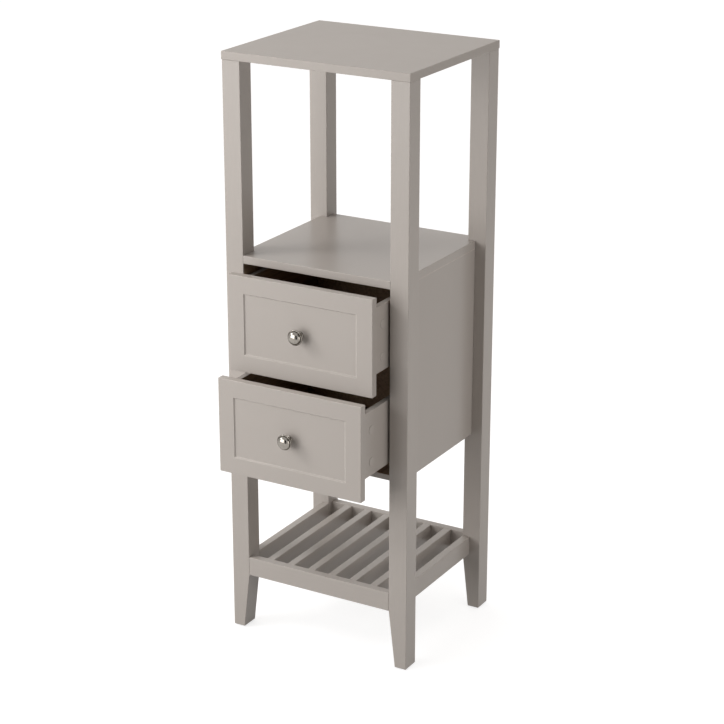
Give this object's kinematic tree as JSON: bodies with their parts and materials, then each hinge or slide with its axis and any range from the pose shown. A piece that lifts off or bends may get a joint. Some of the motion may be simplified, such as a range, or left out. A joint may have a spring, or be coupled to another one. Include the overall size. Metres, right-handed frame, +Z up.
{
  "type": "bathroom cabinet",
  "caption": "Tall narrow free-standing bathroom cabinet with an open bay under its top, inset drawers with round knobs and a slatted bottom shelf between tapered legs.",
  "frame": {"origin": "On the floor, midway between the four legs.", "axes": "+Z up, +X to the right as seen from the front; the drawers open towards -Y."},
  "size_m": [0.402, 0.477, 1.185],
  "materials": {
    "lacquer": "satin lacquer",
    "drawer_bottom": "dark hardboard",
    "knob_metal": "polished nickel",
    "runner_steel": "zinc plated",
    "bolt_steel": "zinc plated",
    "cam_zinc": "die cast",
    "dowel_wood": "bare beech",
    "nylon": "moulded",
    "cam_cover": "satin",
    "glide": "moulded"
  },
  "bodies": {
    "frame": {"top_board": "lacquer", "leg_front_left": "lacquer", "leg_front_right": "lacquer", "leg_rear_left": "lacquer", "leg_rear_right": "lacquer", "middle_shelf": "lacquer", "side_panel_left": "lacquer", "side_panel_right": "lacquer", "back_panel": "lacquer", "case_floor": "lacquer", "shelf_rail_front": "lacquer", "shelf_rail_rear": "lacquer", "shelf_rail_left": "lacquer", "shelf_rail_right": "lacquer", "shelf_slat_1": "lacquer", "shelf_slat_2": "lacquer", "shelf_slat_3": "lacquer", "shelf_slat_4": "lacquer", "shelf_slat_5": "lacquer", "shelf_slat_6": "lacquer", "foot_glides": "glide", "frame_cam_locks": "cam_zinc", "frame_cam_bolts": "bolt_steel", "frame_dowels": "dowel_wood", "frame_runner_screws": "bolt_steel", "upper_cabinet_runner_left": "runner_steel", "upper_cabinet_runner_right": "runner_steel", "lower_cabinet_runner_left": "runner_steel", "lower_cabinet_runner_right": "runner_steel"},
    "upper_drawer": {"upper_drawer_front": "lacquer", "upper_drawer_side_left": "lacquer", "upper_drawer_side_right": "lacquer", "upper_drawer_back": "lacquer", "upper_drawer_bottom": "drawer_bottom", "upper_drawer_knob": "knob_metal", "upper_drawer_knob_screw": "bolt_steel", "upper_drawer_cam_locks": "cam_zinc", "upper_drawer_cam_bolts": "bolt_steel", "upper_drawer_cam_covers": "cam_cover", "upper_drawer_dowels": "dowel_wood", "upper_drawer_runner_left": "runner_steel", "upper_drawer_runner_right": "runner_steel", "upper_drawer_runner_screws": "bolt_steel"},
    "upper_carriages": {"upper_carriages": "nylon"},
    "lower_drawer": {"lower_drawer_front": "lacquer", "lower_drawer_side_left": "lacquer", "lower_drawer_side_right": "lacquer", "lower_drawer_back": "lacquer", "lower_drawer_bottom": "drawer_bottom", "lower_drawer_knob": "knob_metal", "lower_drawer_knob_screw": "bolt_steel", "lower_drawer_cam_locks": "cam_zinc", "lower_drawer_cam_bolts": "bolt_steel", "lower_drawer_cam_covers": "cam_cover", "lower_drawer_dowels": "dowel_wood", "lower_drawer_runner_left": "runner_steel", "lower_drawer_runner_right": "runner_steel", "lower_drawer_runner_screws": "bolt_steel"},
    "lower_carriages": {"lower_carriages": "nylon"}
  },
  "joints": [
    {"name": "upper_drawer_slide", "type": "slide", "parent": "frame", "child": "upper_drawer", "axis": [0, -1, 0], "range_m": [-0.059, 0.141]},
    {"name": "lower_drawer_slide", "type": "slide", "parent": "frame", "child": "lower_drawer", "axis": [0, -1, 0], "range_m": [-0.1005, 0.0995]},
    {"name": "upper_carriage_slide", "type": "slide", "parent": "frame", "child": "upper_carriages", "axis": [0, -1, 0], "range_m": [-0.0295, 0.0705]},
    {"name": "lower_carriage_slide", "type": "slide", "parent": "frame", "child": "lower_carriages", "axis": [0, -1, 0], "range_m": [-0.05025, 0.04975]}
  ],
  "couplings": [
    {"joint": "upper_carriage_slide", "follows": "upper_drawer_slide", "ratio": 0.5},
    {"joint": "lower_carriage_slide", "follows": "lower_drawer_slide", "ratio": 0.5}
  ]
}
